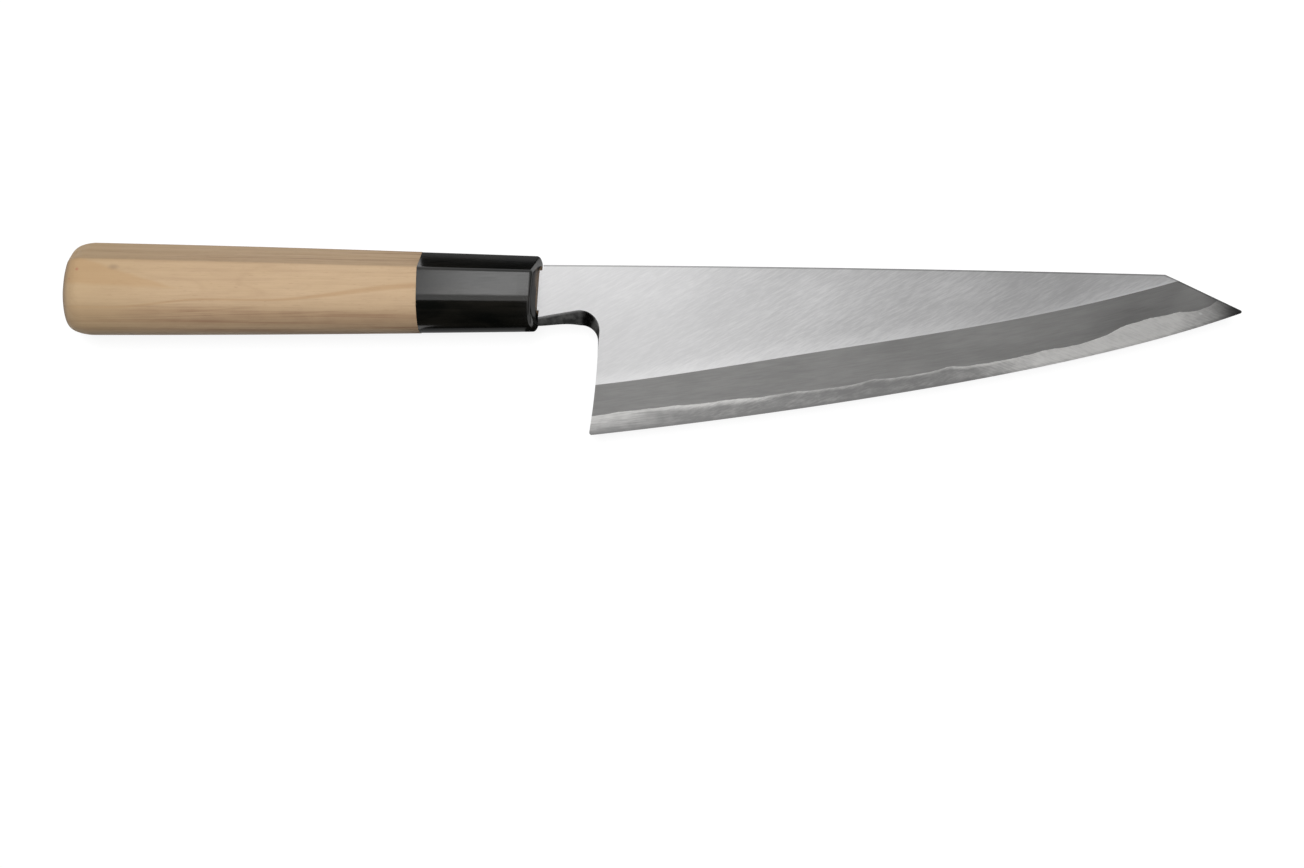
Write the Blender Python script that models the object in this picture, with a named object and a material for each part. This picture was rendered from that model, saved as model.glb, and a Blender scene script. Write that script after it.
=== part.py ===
"""Garasuki knife: a poultry boning knife with a laminated single-bevel blade and a D-shaped handle.

The knife lies on its flat back: +X runs from butt to tip, +Y from edge to spine, and +Z out of the
bevelled face. It is drawn about the handle's axis, with X zero where the axis leaves the ferrule and
Z zero on the blade's flat back. An empty then carries it to its origin, the middle of its lowest level.
Every size is in metres.
"""

import math

import bmesh
import bpy
import numpy as np
from mathutils import Vector

# Blade, seen square on
BLADE_LENGTH = 0.18275  # heel to where clip and edge would meet; the rounded tip ends 1.3 mm short of it
HEEL_SETBACK = 0.0134  # ferrule to heel
SPINE_RISE = 0.0076  # spine above the handle's axis, at the neck
SPINE_FALL = 0.0004  # how much lower the spine ends, at the clip
SPINE_BOW = 0.00046  # crown of the spine between its ends
NECK_HEIGHT = 0.01645
HEEL_HEIGHT = 0.0468  # spine to heel
TIP_DROP = 0.0106  # spine to where clip and edge would meet
CLIP_RUN = 0.02335  # length of the clipped point, along the blade
TIP_RADIUS = 0.00077
HEEL_RADIUS = 0.0007
CHOIL_LEAN = 0.00245  # how far the choil leans forward above the heel
CHOIL_RADIUS = 0.0048  # inner corner of choil and neck
CHOIL_POWER = 1.8  # 1 is a straight choil, and more bends it nearer the heel
NECK_ARCH = 0.0005  # hollow of the neck's underside
EDGE_STRAIGHT, EDGE_SWEEP = 0.605, 0.298  # shares of the edge's rise; the rest lifts the tip
EDGE_SWEEP_POWER, EDGE_LIFT_POWER = 2, 6

# Blade, seen from its edge
NECK_THICKNESS = 0.0046
CLIP_THICKNESS = 0.0019  # spine at the clip's corner
FLAT_THINNING = 0.0004  # how much thinner the flat is at the heel's height than at the spine
EDGE_THICKNESS = 0.0001
BEVEL_WIDTH = 0.0150
BEVEL_NARROWING = 0.0013  # how much narrower the bevel starts, at the heel
BEVEL_WIDENS_OVER = 0.075
STEEL_AT_HEEL = 0.00165  # hard steel under the soft iron
STEEL_AT_TIP = 0.00065
STEEL_SETBACK = 0.0026  # ferrule to the steel's rear end
WELD_LINE = 0.00002  # clearance that keeps the two layers apart

# Hollow of the blade's back
HOLLOW_DEPTH = 0.00045
SPINE_RIM = 0.0026
EDGE_RIM = 0.0018
HOLLOW_START = 0.0066  # ferrule to the hollow's first touch
HOLLOW_RUN_IN = 0.024
HOLLOW_RUN_OUT = 0.018
HOLLOW_LIFT = 0.00012  # how far the wheel hangs clear at either end
WHEEL_OVERHANG = 1.2  # the wheel's width against the hollow's

# Scoop filed under the neck and round the choil's corner
FILE_RADIUS = 0.0034
FILE_LIFT = 0.0011  # its centre above the blade's flat
SCOOP_AT_FERRULE = 0.0017  # widths of the scoop on the flat
SCOOP_AT_CORNER = 0.0031
SCOOP_AT_CHOIL = 0.00045
SCOOP_DROP = 0.0130  # how far it runs down the choil

# Tang
SHOULDER_SETBACK = 0.0004  # ferrule to the blade's shoulders, which slant as its front does
SHOULDER_DEPTH = 0.0015  # spine to the tang's top
TANG_HEIGHT = 0.0110
TANG_THICKNESS = 0.0042
TANG_LENGTH = 0.095
TANG_END_HEIGHT = 0.0050
TANG_END_THICKNESS = 0.0030
TANG_END_TAPER = 0.0020
TANG_ROOT = 0.0030  # how far it runs on inside the neck
TANG_CHAMFER = 0.0008

# Handle
HANDLE_LENGTH = 0.1312  # butt to ferrule's front
FERRULE_LENGTH = 0.0334
BUTT_HEIGHT = 0.02605
BUTT_WIDTH = 0.0218
FRONT_HEIGHT = 0.0212
FRONT_WIDTH = 0.0178
HANDLE_BELLY = 0.0006  # swell between the straight taper's ends
BUTT_RIDGE = 0.0072  # ridge above the axis
FRONT_RIDGE = 0.0055
UPPER_FLAT_END = 0.0015  # how far behind the middle the flat above the ridge ends
SIDE_FLAT_END = 0.0020  # how far under the axis the flat below the ridge ends
BUTT_DOME = 0.0070  # length over which the butt rounds off
DOME_HIGH = (1.6, 7.3)  # its powers up and down: a bigger second one fills the corners
DOME_WIDE = (2, 2)  # its powers to either side: two twos are a quarter ellipse
DOME_CROWDING = 3  # power that crowds its rings towards the end
BUTT_SLANT = math.radians(2.1)
FRONT_RADIUS = 0.0019
FRONT_SLANT = math.radians(3.5)  # the ferrule's front leans forward at the spine
SECTION_POWER = 2.2  # 2 is an ellipse, and more is squarer
HORN_STEP = 0.0001  # how far the horn is worn below the wood at their joint
TENON_WALL_HIGH = 0.0008  # wood round the tang, above and below
TENON_WALL_WIDE = 0.0014  # and to either side
SEAL_THICKNESS = 0.0014
SEAL_INSET = 0.0007  # behind the ferrule's front

# Clearances
FIT_GAP = 0.0003
SHOULDER_GAP = 0.0001

# Fineness
SECTION_POINTS = 44
SPINE_POINTS = 9
EDGE_STEPS = 26
ARC_STEPS = 8
NECK_STEPS = 5
FERRULE_STEPS = 6
SHAFT_STEPS = 9
DOME_RINGS = 10
CHOIL_STEPS = 7
HOLLOW_POINTS = 9
ROUND_SIDES = 40
SHARP_ANGLE = math.radians(25)  # creases above it stay sharp in the shading
MERGE = 1e-6

# Places worked out from the sizes
MIDDLE_Z = NECK_THICKNESS / 2
HEEL_X = HEEL_SETBACK
TIP_X = HEEL_X + BLADE_LENGTH
CLIP_X = TIP_X - CLIP_RUN
FRONT_LEAN = math.tan(FRONT_SLANT)
HEEL_Y = SPINE_RISE - HEEL_HEIGHT
TIP_Y = SPINE_RISE - TIP_DROP
NECK_Y = SPINE_RISE - NECK_HEIGHT
CHOIL_X = HEEL_X + CHOIL_LEAN
TANG_TOP_Y = SPINE_RISE - SHOULDER_DEPTH
TANG_Y = TANG_TOP_Y - TANG_HEIGHT / 2
JOINT_X = -FERRULE_LENGTH
BUTT_X = -HANDLE_LENGTH
SEAL_X = -SEAL_INSET - SEAL_THICKNESS
SPARE = 0.010  # how far a cutter reaches past what it cuts


def clear_scene():
    for obj in list(bpy.data.objects):
        bpy.data.objects.remove(obj, do_unlink=True)


def new_collection(name):
    made = bpy.data.collections.new(name)
    bpy.context.scene.collection.children.link(made)
    return made


def material(name, colour, roughness, metallic):
    made = bpy.data.materials.new(name)
    made.use_nodes = True
    shader = made.node_tree.nodes["Principled BSDF"]
    shader.inputs["Base Color"].default_value = (*colour, 1)
    shader.inputs["Roughness"].default_value = roughness
    shader.inputs["Metallic"].default_value = metallic
    made.diffuse_color = (*colour, 1)
    return made


def place(mesh, name, home):
    made = bpy.data.objects.new(name, mesh)
    home.objects.link(made)
    if home is CUTTERS:
        made.hide_render = True
        made.display_type = "WIRE"
    return made


def loft(name, rings, home):
    """A closed solid through rings of points, all with as many points."""
    bm = bmesh.new()
    rows = [[bm.verts.new(point) for point in ring] for ring in rings]
    count = len(rows[0])
    for low, high in zip(rows, rows[1:]):
        for i in range(count):
            j = (i + 1) % count
            bm.faces.new((low[i], low[j], high[j], high[i]))
    bm.faces.new(rows[0])
    bm.faces.new(rows[-1])
    bmesh.ops.recalc_face_normals(bm, faces=bm.faces)
    mesh = bpy.data.meshes.new(name)
    bm.to_mesh(mesh)
    bm.free()
    return place(mesh, name, home)


def mesh_of(obj):
    """The object's shape with its modifiers and its own place applied."""
    bpy.context.view_layer.update()
    evaluated = obj.evaluated_get(bpy.context.evaluated_depsgraph_get())
    mesh = bpy.data.meshes.new_from_object(evaluated)
    mesh.transform(obj.matrix_world)
    return mesh


def plate(name, points, low, high, home, along="Z"):
    """A flat outline as a filled curve, given its thickness and then made a mesh."""
    curve = bpy.data.curves.new(name, "CURVE")
    curve.dimensions = "2D"
    curve.fill_mode = "BOTH"
    curve.extrude = (high - low) / 2
    spline = curve.splines.new("POLY")
    spline.points.add(len(points) - 1)
    for slot, (u, v) in zip(spline.points, points):
        slot.co = (u, v, 0, 1)
    spline.use_cyclic_u = True
    drawn = bpy.data.objects.new(name, curve)
    home.objects.link(drawn)
    middle = (low + high) / 2
    if along == "Z":
        drawn.location = (0, 0, middle)
    else:
        # Turned so that the outline's two directions are Y and Z, and its thickness runs along X
        drawn.rotation_euler = (math.pi / 2, 0, math.pi / 2)
        drawn.location = (middle, 0, 0)
    mesh = mesh_of(drawn)
    bpy.data.objects.remove(drawn, do_unlink=True)
    bm = bmesh.new()
    bm.from_mesh(mesh)
    bmesh.ops.remove_doubles(bm, verts=bm.verts, dist=MERGE)
    bmesh.ops.recalc_face_normals(bm, faces=bm.faces)
    bm.to_mesh(mesh)
    bm.free()
    return place(mesh, name, home)


def boolean(obj, other, operation):
    modifier = obj.modifiers.new(f"{operation.lower()}_{other.name}", "BOOLEAN")
    modifier.operation = operation
    modifier.solver = "EXACT"
    modifier.object = other


def finished(obj, name, home, look):
    """The object with its cuts applied, as a sub-part with its material and its smooth faces."""
    mesh = mesh_of(obj)
    mesh.name = name
    mesh.materials.clear()
    mesh.materials.append(look)
    mesh.shade_smooth()
    mesh.set_sharp_from_angle(angle=SHARP_ANGLE)
    bpy.data.objects.remove(obj, do_unlink=True)
    return place(mesh, name, home)


def smooth_step(share):
    share = min(max(share, 0.0), 1.0)
    return share * share * (3 - 2 * share)


def arc_corner(before, corner, after, radius, steps):
    """Points of the arc that rounds a corner between two straight lines."""
    a = (Vector(before) - Vector(corner)).normalized()
    b = (Vector(after) - Vector(corner)).normalized()
    half = a.angle(b) / 2
    centre = Vector(corner) + (a + b).normalized() * (radius / math.sin(half))
    start = Vector(corner) + a * (radius / math.tan(half)) - centre
    end = Vector(corner) + b * (radius / math.tan(half)) - centre
    turn = start.angle_signed(end)
    points = []
    for k in range(steps + 1):
        angle = -turn * k / steps
        x = start.x * math.cos(angle) - start.y * math.sin(angle)
        y = start.x * math.sin(angle) + start.y * math.cos(angle)
        points.append((centre.x + x, centre.y + y))
    return points


def shoulder_x(y):
    return SHOULDER_SETBACK + y * FRONT_LEAN


def spine_y(x):
    share = x / CLIP_X
    return SPINE_RISE - SPINE_FALL * share + SPINE_BOW * 4 * share * (1 - share)


def top_y(x):
    """The blade's upper outline: the spine, then the clip down to the tip."""
    if x <= CLIP_X:
        return spine_y(x)
    share = (x - CLIP_X) / CLIP_RUN
    return spine_y(CLIP_X) + (TIP_Y - spine_y(CLIP_X)) * share


def edge_y(x):
    """The cutting edge: nearly straight from the heel, then swept up, and lifted at the tip."""
    share = (x - HEEL_X) / BLADE_LENGTH
    rise = TIP_Y - HEEL_Y
    if share < 0:
        return HEEL_Y + rise * EDGE_STRAIGHT * share
    sweep = EDGE_SWEEP * share**EDGE_SWEEP_POWER
    lift = (1 - EDGE_STRAIGHT - EDGE_SWEEP) * share**EDGE_LIFT_POWER
    return HEEL_Y + rise * (EDGE_STRAIGHT * share + sweep + lift)


def bevel_width(x):
    return BEVEL_WIDTH - BEVEL_NARROWING * (1 - smooth_step((x - HEEL_X) / BEVEL_WIDENS_OVER))


def flat_z(x, y):
    """Height of the blade's front flat, which thins towards the tip and a little towards the edge."""
    run = max(0.0, x - STEEL_SETBACK) / (CLIP_X - STEEL_SETBACK)
    across = (SPINE_RISE - y) / HEEL_HEIGHT
    return NECK_THICKNESS - (NECK_THICKNESS - CLIP_THICKNESS) * run - FLAT_THINNING * across


def weld_z(x):
    share = (x - HEEL_X) / BLADE_LENGTH
    return STEEL_AT_HEEL + (STEEL_AT_TIP - STEEL_AT_HEEL) * share


def choil_x(y):
    top = NECK_Y - CHOIL_RADIUS
    share = min(max((top - y) / (top - HEEL_Y), 0.0), 1.0)
    return HEEL_X + CHOIL_LEAN * (1 - share**CHOIL_POWER)


def edge_stations():
    return [HEEL_X + BLADE_LENGTH * k / EDGE_STEPS for k in range(EDGE_STEPS + 1)]


def blade_outline():
    points = [(x, spine_y(x)) for x in np.linspace(shoulder_x(SPINE_RISE), CLIP_X, SPINE_POINTS)]
    edge = [(x, edge_y(x)) for x in reversed(edge_stations())]
    points += arc_corner(points[-1], (TIP_X, TIP_Y), edge[1], TIP_RADIUS, ARC_STEPS)
    points += edge[1:-1]
    choil_top = NECK_Y - CHOIL_RADIUS
    choil = [(choil_x(y), y) for y in np.linspace(HEEL_Y, choil_top, CHOIL_STEPS + 1)]
    points += arc_corner(edge[-2], edge[-1], choil[1], HEEL_RADIUS, ARC_STEPS // 2)
    points += choil[1:-1]
    points += arc_corner(choil[-1], (CHOIL_X, NECK_Y), (0, NECK_Y), CHOIL_RADIUS, ARC_STEPS)
    neck_run = CHOIL_X - CHOIL_RADIUS - shoulder_x(NECK_Y)
    for k in reversed(range(NECK_STEPS)):
        share = k / NECK_STEPS
        rise = NECK_ARCH * math.sin(math.pi * share)
        points.append((shoulder_x(NECK_Y) + neck_run * share, NECK_Y + rise))
    return points


def tang_rings(clearance, front):
    """A bar that tapers both ways from the neck to its end, or the slot that clears it."""
    mouth = TANG_HEIGHT, TANG_THICKNESS
    end = TANG_END_HEIGHT, TANG_END_THICKNESS
    nose = TANG_END_HEIGHT - TANG_END_TAPER, TANG_END_THICKNESS - TANG_END_TAPER / 2
    rear = -TANG_LENGTH
    stations = [(rear - clearance, nose), (rear + TANG_END_TAPER, end), (0.0, mouth), (front, mouth)]
    rings = []
    for x, (height, thickness) in stations:
        y = height / 2 + clearance
        z = thickness / 2 + clearance
        cut = min(TANG_CHAMFER, z / 2)
        corners = [(y - cut, -z), (y, cut - z), (y, z - cut), (y - cut, z)]
        corners += [(-v, -w) for v, w in corners]
        rings.append([(x, TANG_Y + v, MIDDLE_Z + w) for v, w in corners])
    return rings


def grinding_wheel():
    """What is ground off the front: the flat above the grind line, and the bevel below it."""
    stations = [-SPARE, STEEL_SETBACK, HEEL_X / 2] + edge_stations() + [TIP_X + SPARE]
    rings = []
    for x in stations:
        low = edge_y(x)
        grind = low + bevel_width(x)
        high = SPINE_RISE + SPARE
        grind_z = flat_z(x, grind)
        slope = (grind_z - EDGE_THICKNESS) / (grind - low)
        ceiling = NECK_THICKNESS + SPARE
        rings.append([
            (x, high, flat_z(x, high)),
            (x, grind, grind_z),
            (x, low, EDGE_THICKNESS),
            (x, low - SPARE, EDGE_THICKNESS - slope * SPARE),
            (x, low - SPARE, ceiling),
            (x, high, ceiling),
        ])
    return loft("grinding_wheel", rings, CUTTERS)


def hollowing_wheel():
    """The shallow hollow of the back, which leaves a flat rim along the spine and the edge."""
    last = CLIP_X
    while top_y(last) - SPINE_RIM - edge_y(last) - EDGE_RIM > 2 * EDGE_RIM and last < TIP_X:
        last += EDGE_RIM
    full = HEEL_HEIGHT - SPINE_RIM - EDGE_RIM
    rings = []
    for x in np.linspace(HOLLOW_START, last, EDGE_STEPS):
        low = edge_y(x) + EDGE_RIM
        high = top_y(x) - SPINE_RIM
        middle, half = (low + high) / 2, (high - low) / 2
        run_in = smooth_step((x - HOLLOW_START) / HOLLOW_RUN_IN)
        run_out = smooth_step((last - x) / HOLLOW_RUN_OUT)
        depth = HOLLOW_DEPTH * 2 * half / full * run_in
        lift = HOLLOW_LIFT * (2 - run_in - run_out)
        ring = []
        for share in np.linspace(-WHEEL_OVERHANG, WHEEL_OVERHANG, HOLLOW_POINTS):
            ring.append((x, middle + half * share, depth * (1 - share * share) - lift))
        ring.append((x, middle + half * WHEEL_OVERHANG, -SPARE))
        ring.append((x, middle - half * WHEEL_OVERHANG, -SPARE))
        rings.append(ring)
    return loft("hollowing_wheel", rings, CUTTERS)


def rod(name, start, end, radius):
    """A round bar between two points."""
    along = Vector(end) - Vector(start)
    bpy.ops.mesh.primitive_cylinder_add(vertices=ROUND_SIDES, radius=radius, depth=along.length)
    made = bpy.context.object
    made.name = name
    made.location = (Vector(start) + Vector(end)) / 2
    made.rotation_euler = along.to_track_quat("Z", "Y").to_euler()
    move_to(made, CUTTERS)
    return made


def ball(name, centre, radius):
    bpy.ops.mesh.primitive_uv_sphere_add(segments=ROUND_SIDES, ring_count=ROUND_SIDES // 2, radius=radius)
    made = bpy.context.object
    made.name = name
    made.location = centre
    move_to(made, CUTTERS)
    return made


def move_to(obj, home):
    for old in list(obj.users_collection):
        old.objects.unlink(obj)
    home.objects.link(obj)
    obj.hide_render = True
    obj.display_type = "WIRE"


def scoop_files():
    """A round file drawn along the neck's underside, round the corner and down the choil."""
    reach = math.sqrt(FILE_RADIUS**2 - FILE_LIFT**2)
    corner = (CHOIL_X + SCOOP_AT_CHOIL - reach, NECK_Y + SCOOP_AT_CORNER - reach)
    neck = (0.0, NECK_Y + SCOOP_AT_FERRULE - reach)
    foot = (choil_x(corner[1] - SCOOP_DROP) - reach, corner[1] - SCOOP_DROP)
    height = {}
    for key, (x, y) in (("corner", corner), ("neck", neck), ("foot", foot)):
        height[key] = flat_z(x, y) + FILE_LIFT
    at_corner = Vector((*corner, height["corner"]))
    at_neck = Vector((*neck, height["neck"]))
    past_neck = at_neck + (at_neck - at_corner).normalized() * SPARE
    at_foot = Vector((*foot, height["foot"]))
    return [
        rod("neck_file", past_neck, at_corner, FILE_RADIUS),
        ball("corner_file", at_corner, FILE_RADIUS),
        rod("choil_file", at_corner, at_foot, FILE_RADIUS),
    ]


def layer_block(name, gap):
    """Everything under the weld line, from the steel's rear end to past the tip."""
    rings = []
    for x in (STEEL_SETBACK - gap, TIP_X + SPARE):
        top = weld_z(x) + gap
        corners = (
            (HEEL_Y - SPARE, -SPARE),
            (SPINE_RISE + SPARE, -SPARE),
            (SPINE_RISE + SPARE, top),
            (HEEL_Y - SPARE, top),
        )
        rings.append([(x, y, z) for y, z in corners])
    return loft(name, rings, CUTTERS)


def make_blade():
    blank = plate("blade_blank", blade_outline(), 0.0, NECK_THICKNESS + FLAT_THINNING, CUTTERS)
    tang = loft("tang_bar", tang_rings(0.0, TANG_ROOT), CUTTERS)
    boolean(blank, tang, "UNION")
    for cutter in [grinding_wheel(), *scoop_files(), hollowing_wheel()]:
        boolean(blank, cutter, "DIFFERENCE")
    ground = mesh_of(blank)
    upper = place(ground, "upper_layer", CUTTERS)
    boolean(upper, layer_block("layer_above_weld", WELD_LINE), "DIFFERENCE")
    lower = place(ground.copy(), "lower_layer", CUTTERS)
    boolean(lower, layer_block("layer_below_weld", 0.0), "INTERSECT")
    iron = material("soft_iron", (0.60, 0.60, 0.61), 0.32, 1.0)
    steel = material("hard_steel", (0.66, 0.66, 0.68), 0.22, 1.0)
    return [
        finished(upper, "blade_cladding", PARTS, iron),
        finished(lower, "blade_edge_steel", PARTS, steel),
    ]


def handle_size(x):
    """Half height, half width and ridge height of the handle at a station along it."""
    share = -x / HANDLE_LENGTH
    belly = HANDLE_BELLY * 4 * share * (1 - share)
    height = FRONT_HEIGHT + (BUTT_HEIGHT - FRONT_HEIGHT) * share + belly
    width = FRONT_WIDTH + (BUTT_WIDTH - FRONT_WIDTH) * share + belly
    ridge = FRONT_RIDGE + (BUTT_RIDGE - FRONT_RIDGE) * share
    return height / 2, width / 2, ridge


def oval(angle, half_height, half_width):
    """A point of the squarish oval, with the angle counted from the bevelled side up to the spine."""
    power = 2 / SECTION_POWER
    c, s = math.cos(angle), math.sin(angle)
    y = half_height * math.copysign(abs(s) ** power, s)
    z = half_width * math.copysign(abs(c) ** power, c)
    return y, z


def handle_ring(x, inset=0.0, high=1.0, wide=1.0):
    """The D section: an oval planed flat on both sides of the ridge that lies in the palm."""
    half_height, half_width, ridge = handle_size(x)
    half_height, half_width, ridge = half_height - inset, half_width - inset, ridge - inset / 2
    power = SECTION_POWER / 2
    ridge_angle = math.asin((ridge / half_height) ** power)
    first = math.pi - math.acos((UPPER_FLAT_END / half_width) ** power)
    last = 2 * math.pi - math.asin((SIDE_FLAT_END / half_height) ** power)
    angles = list(np.linspace(first, last, SECTION_POINTS - 1)) + [ridge_angle]
    points = []
    for angle in angles:
        y, z = oval(angle, half_height, half_width)
        points.append((x, y * high, MIDDLE_Z + z * wide))
    return points


def dome(depth, powers):
    return (1 - (1 - depth) ** powers[0]) ** (1 / powers[1])


def butt_rings():
    """The domed end, cut a little aslant, from its middle out to the full section."""
    rings = []
    for k in range(1, DOME_RINGS):
        depth = (k / DOME_RINGS) ** DOME_CROWDING
        x = BUTT_X + BUTT_DOME * depth
        lean = math.tan(BUTT_SLANT) * (1 - depth)
        ring = handle_ring(x, high=dome(depth, DOME_HIGH), wide=dome(depth, DOME_WIDE))
        rings.append([(px + py * lean, py, pz) for px, py, pz in ring])
    return rings


def obround(height, width):
    """Outline of a slot with round ends, as Y and Z points about the tang's middle."""
    straight = (height - width) / 2
    points = []
    for middle, first in ((straight, 0.0), (-straight, math.pi)):
        for k in range(2 * ARC_STEPS + 1):
            angle = first + math.pi * k / (2 * ARC_STEPS)
            y = TANG_Y + middle + width / 2 * math.sin(angle)
            points.append((y, MIDDLE_Z + width / 2 * math.cos(angle)))
    return points


def tenon_size(clearance=0.0):
    height = TANG_HEIGHT + 2 * (FIT_GAP + TENON_WALL_HIGH) + 2 * clearance
    width = TANG_THICKNESS + 2 * (FIT_GAP + TENON_WALL_WIDE) + 2 * clearance
    return height, width


def tang_slot(name):
    return loft(name, tang_rings(FIT_GAP, SPARE), CUTTERS)


def make_shaft():
    shoulder = JOINT_X - SHOULDER_GAP
    straight = [handle_ring(x) for x in np.linspace(BUTT_X + BUTT_DOME, shoulder, SHAFT_STEPS)]
    body = loft("shaft_body", butt_rings() + straight, CUTTERS)
    tenon_end = SEAL_X - FIT_GAP
    tenon = plate("tenon", obround(*tenon_size()), shoulder - SPARE / 2, tenon_end, CUTTERS, along="X")
    boolean(body, tenon, "UNION")
    boolean(body, tang_slot("slot_in_shaft"), "DIFFERENCE")
    wood = material("magnolia_wood", (0.53, 0.37, 0.24), 0.55, 0.0)
    return finished(body, "handle_shaft", PARTS, wood)


def make_ferrule():
    rings = []
    for x in np.linspace(JOINT_X, -FRONT_RADIUS, FERRULE_STEPS)[:-1]:
        rings.append(handle_ring(x, inset=HORN_STEP * x / JOINT_X))
    for k in range(FERRULE_STEPS):
        angle = math.pi / 2 * k / (FERRULE_STEPS - 1)
        x = -FRONT_RADIUS * (1 - math.sin(angle))
        ring = handle_ring(x, inset=FRONT_RADIUS * (1 - math.cos(angle)))
        rings.append([(px + py * FRONT_LEAN, py, pz) for px, py, pz in ring])
    body = loft("ferrule_body", rings, CUTTERS)
    bore = plate("ferrule_bore", obround(*tenon_size(FIT_GAP)), JOINT_X - SPARE, SPARE, CUTTERS, along="X")
    boolean(body, bore, "DIFFERENCE")
    horn = material("buffalo_horn", (0.012, 0.011, 0.011), 0.12, 0.0)
    return finished(body, "horn_ferrule", PARTS, horn)


def make_seal():
    ring = plate("seal_plate", obround(*tenon_size()), SEAL_X, -SEAL_INSET, CUTTERS, along="X")
    boolean(ring, tang_slot("slot_in_seal"), "DIFFERENCE")
    resin = material("pine_resin", (0.11, 0.055, 0.03), 0.45, 0.0)
    return finished(ring, "tang_seal", PARTS, resin)


def rest_on_origin(parts):
    """Carries the knife so that the middle of its lowest level is the origin."""
    lowest = Vector((math.inf,) * 3)
    highest = Vector((-math.inf,) * 3)
    for part in parts:
        for vertex in part.data.vertices:
            lowest = Vector(map(min, lowest, vertex.co))
            highest = Vector(map(max, highest, vertex.co))
    carrier = bpy.data.objects.new("knife_frame", None)
    PARTS.objects.link(carrier)
    middle = (lowest + highest) / 2
    carrier.location = (-middle.x, -middle.y, -lowest.z)
    for part in parts:
        part.parent = carrier
    size = (highest - lowest) * 1000
    print(f"knife {size.x:.1f} x {size.y:.1f} x {size.z:.1f} mm")
    print("frame offset", [round(value, 6) for value in carrier.location])


clear_scene()
PARTS = new_collection("garasuki_knife")
CUTTERS = new_collection("cutters")
rest_on_origin([*make_blade(), make_shaft(), make_ferrule(), make_seal()])
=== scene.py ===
# %% [markdown]
# # A garasuki, the Japanese knife for boning poultry
#
# The blade is a hard steel layer forge-welded under soft iron, ground on one side only. Its tang runs
# into a magnolia handle with a horn ferrule. The solid model gives every place and size in metres:
# +X runs from butt to tip, +Y from edge to spine and +Z out of the bevelled face. This script builds
# fine surfaces over those solids and gives each its finish.

import math

import bmesh
import bpy
import numpy as np
from mathutils import Matrix, Vector


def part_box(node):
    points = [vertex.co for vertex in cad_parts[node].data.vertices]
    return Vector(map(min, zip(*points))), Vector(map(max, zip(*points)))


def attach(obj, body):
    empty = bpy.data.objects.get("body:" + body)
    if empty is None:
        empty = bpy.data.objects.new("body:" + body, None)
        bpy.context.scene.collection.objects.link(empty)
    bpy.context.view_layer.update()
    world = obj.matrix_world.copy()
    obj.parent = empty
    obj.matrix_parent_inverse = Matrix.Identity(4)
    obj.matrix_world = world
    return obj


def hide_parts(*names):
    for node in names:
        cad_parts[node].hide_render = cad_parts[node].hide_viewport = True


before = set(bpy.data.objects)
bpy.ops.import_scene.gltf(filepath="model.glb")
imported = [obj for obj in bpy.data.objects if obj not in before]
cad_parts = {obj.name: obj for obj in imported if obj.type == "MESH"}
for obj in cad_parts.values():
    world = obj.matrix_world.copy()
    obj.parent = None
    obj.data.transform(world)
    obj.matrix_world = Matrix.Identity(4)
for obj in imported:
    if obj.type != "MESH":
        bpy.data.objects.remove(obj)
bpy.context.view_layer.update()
print("solids:", ", ".join(sorted(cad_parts)))

# %% [markdown]
# ## Sizes
#
# Everything is measured from the point where the handle's axis leaves the ferrule, with Z zero on the
# blade's flat back, and is carried to its place in the frame at the end. The sizes are those of the
# solids, so that each surface lies where its solid lies. After the photograph, the arch under the neck,
# the lean of shoulder and ferrule, and the worn butt go a few tenths of a millimetre past them.

# %% Where the knife's own origin lies, and the blade's sizes
HOME = Vector((-0.031694, 0.013103, 0.008549))

BLADE_LENGTH, HEEL_X = 0.18215, 0.0134
SPINE_RISE, SPINE_FALL, SPINE_BOW = 0.0076, 0.0004, 0.00046
NECK_HEIGHT, HEEL_HEIGHT = 0.0162, 0.04679
TIP_DROP, CLIP_RUN = 0.01035, 0.02278
TIP_RADIUS, HEEL_RADIUS = 0.00045, 0.0007
CHOIL_LEAN, CHOIL_RADIUS, CHOIL_POWER = 0.00245, 0.0048, 1.8
NECK_ARCH, NECK_FALL = 0.0004, 0.0003
EDGE_STRAIGHT, EDGE_SWEEP = 0.600, 0.290

BLANK_THICKNESS, NECK_THICKNESS, CLIP_THICKNESS = 0.0055, 0.0046, 0.0019
FLAT_THINNING, EDGE_THICKNESS = 0.0004, 0.00008
BEVEL_WIDTH, BEVEL_NARROWING, BEVEL_WIDENS_OVER, BEVEL_TAPER = 0.0150, 0.0013, 0.070, 0.0004
STEEL_SETBACK, SHOULDER_SET, SPARE = 0.0026, 0.0001, 0.010
FRONT_LEAN, SHOULDER_LEAN = math.tan(math.radians(3.5)), math.tan(math.radians(5.5))

MIDDLE_Z = NECK_THICKNESS / 2
TIP_X = HEEL_X + BLADE_LENGTH
CLIP_X = TIP_X - CLIP_RUN
HEEL_Y = SPINE_RISE - HEEL_HEIGHT
TIP_Y = SPINE_RISE - TIP_DROP
NECK_Y = SPINE_RISE - NECK_HEIGHT
CHOIL_X = HEEL_X + CHOIL_LEAN
print(f"blade {BLADE_LENGTH * 1000:.0f} mm, heel {HEEL_HEIGHT * 1000:.0f} mm deep")

# %% [markdown]
# ## Small tools
#
# A blade's section changes along its length, so rings of points describe it, and `loft` joins them into
# a solid. A strip between two of their points can have a finish of its own. `carve` cuts one solid with
# another, as a grinding wheel does, and the cut face takes the finish of what cut it.

# %% Make, carve and freeze a mesh
def new_object(name, mesh):
    made = bpy.data.objects.new(name, mesh)
    bpy.context.scene.collection.objects.link(made)
    return made


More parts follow.
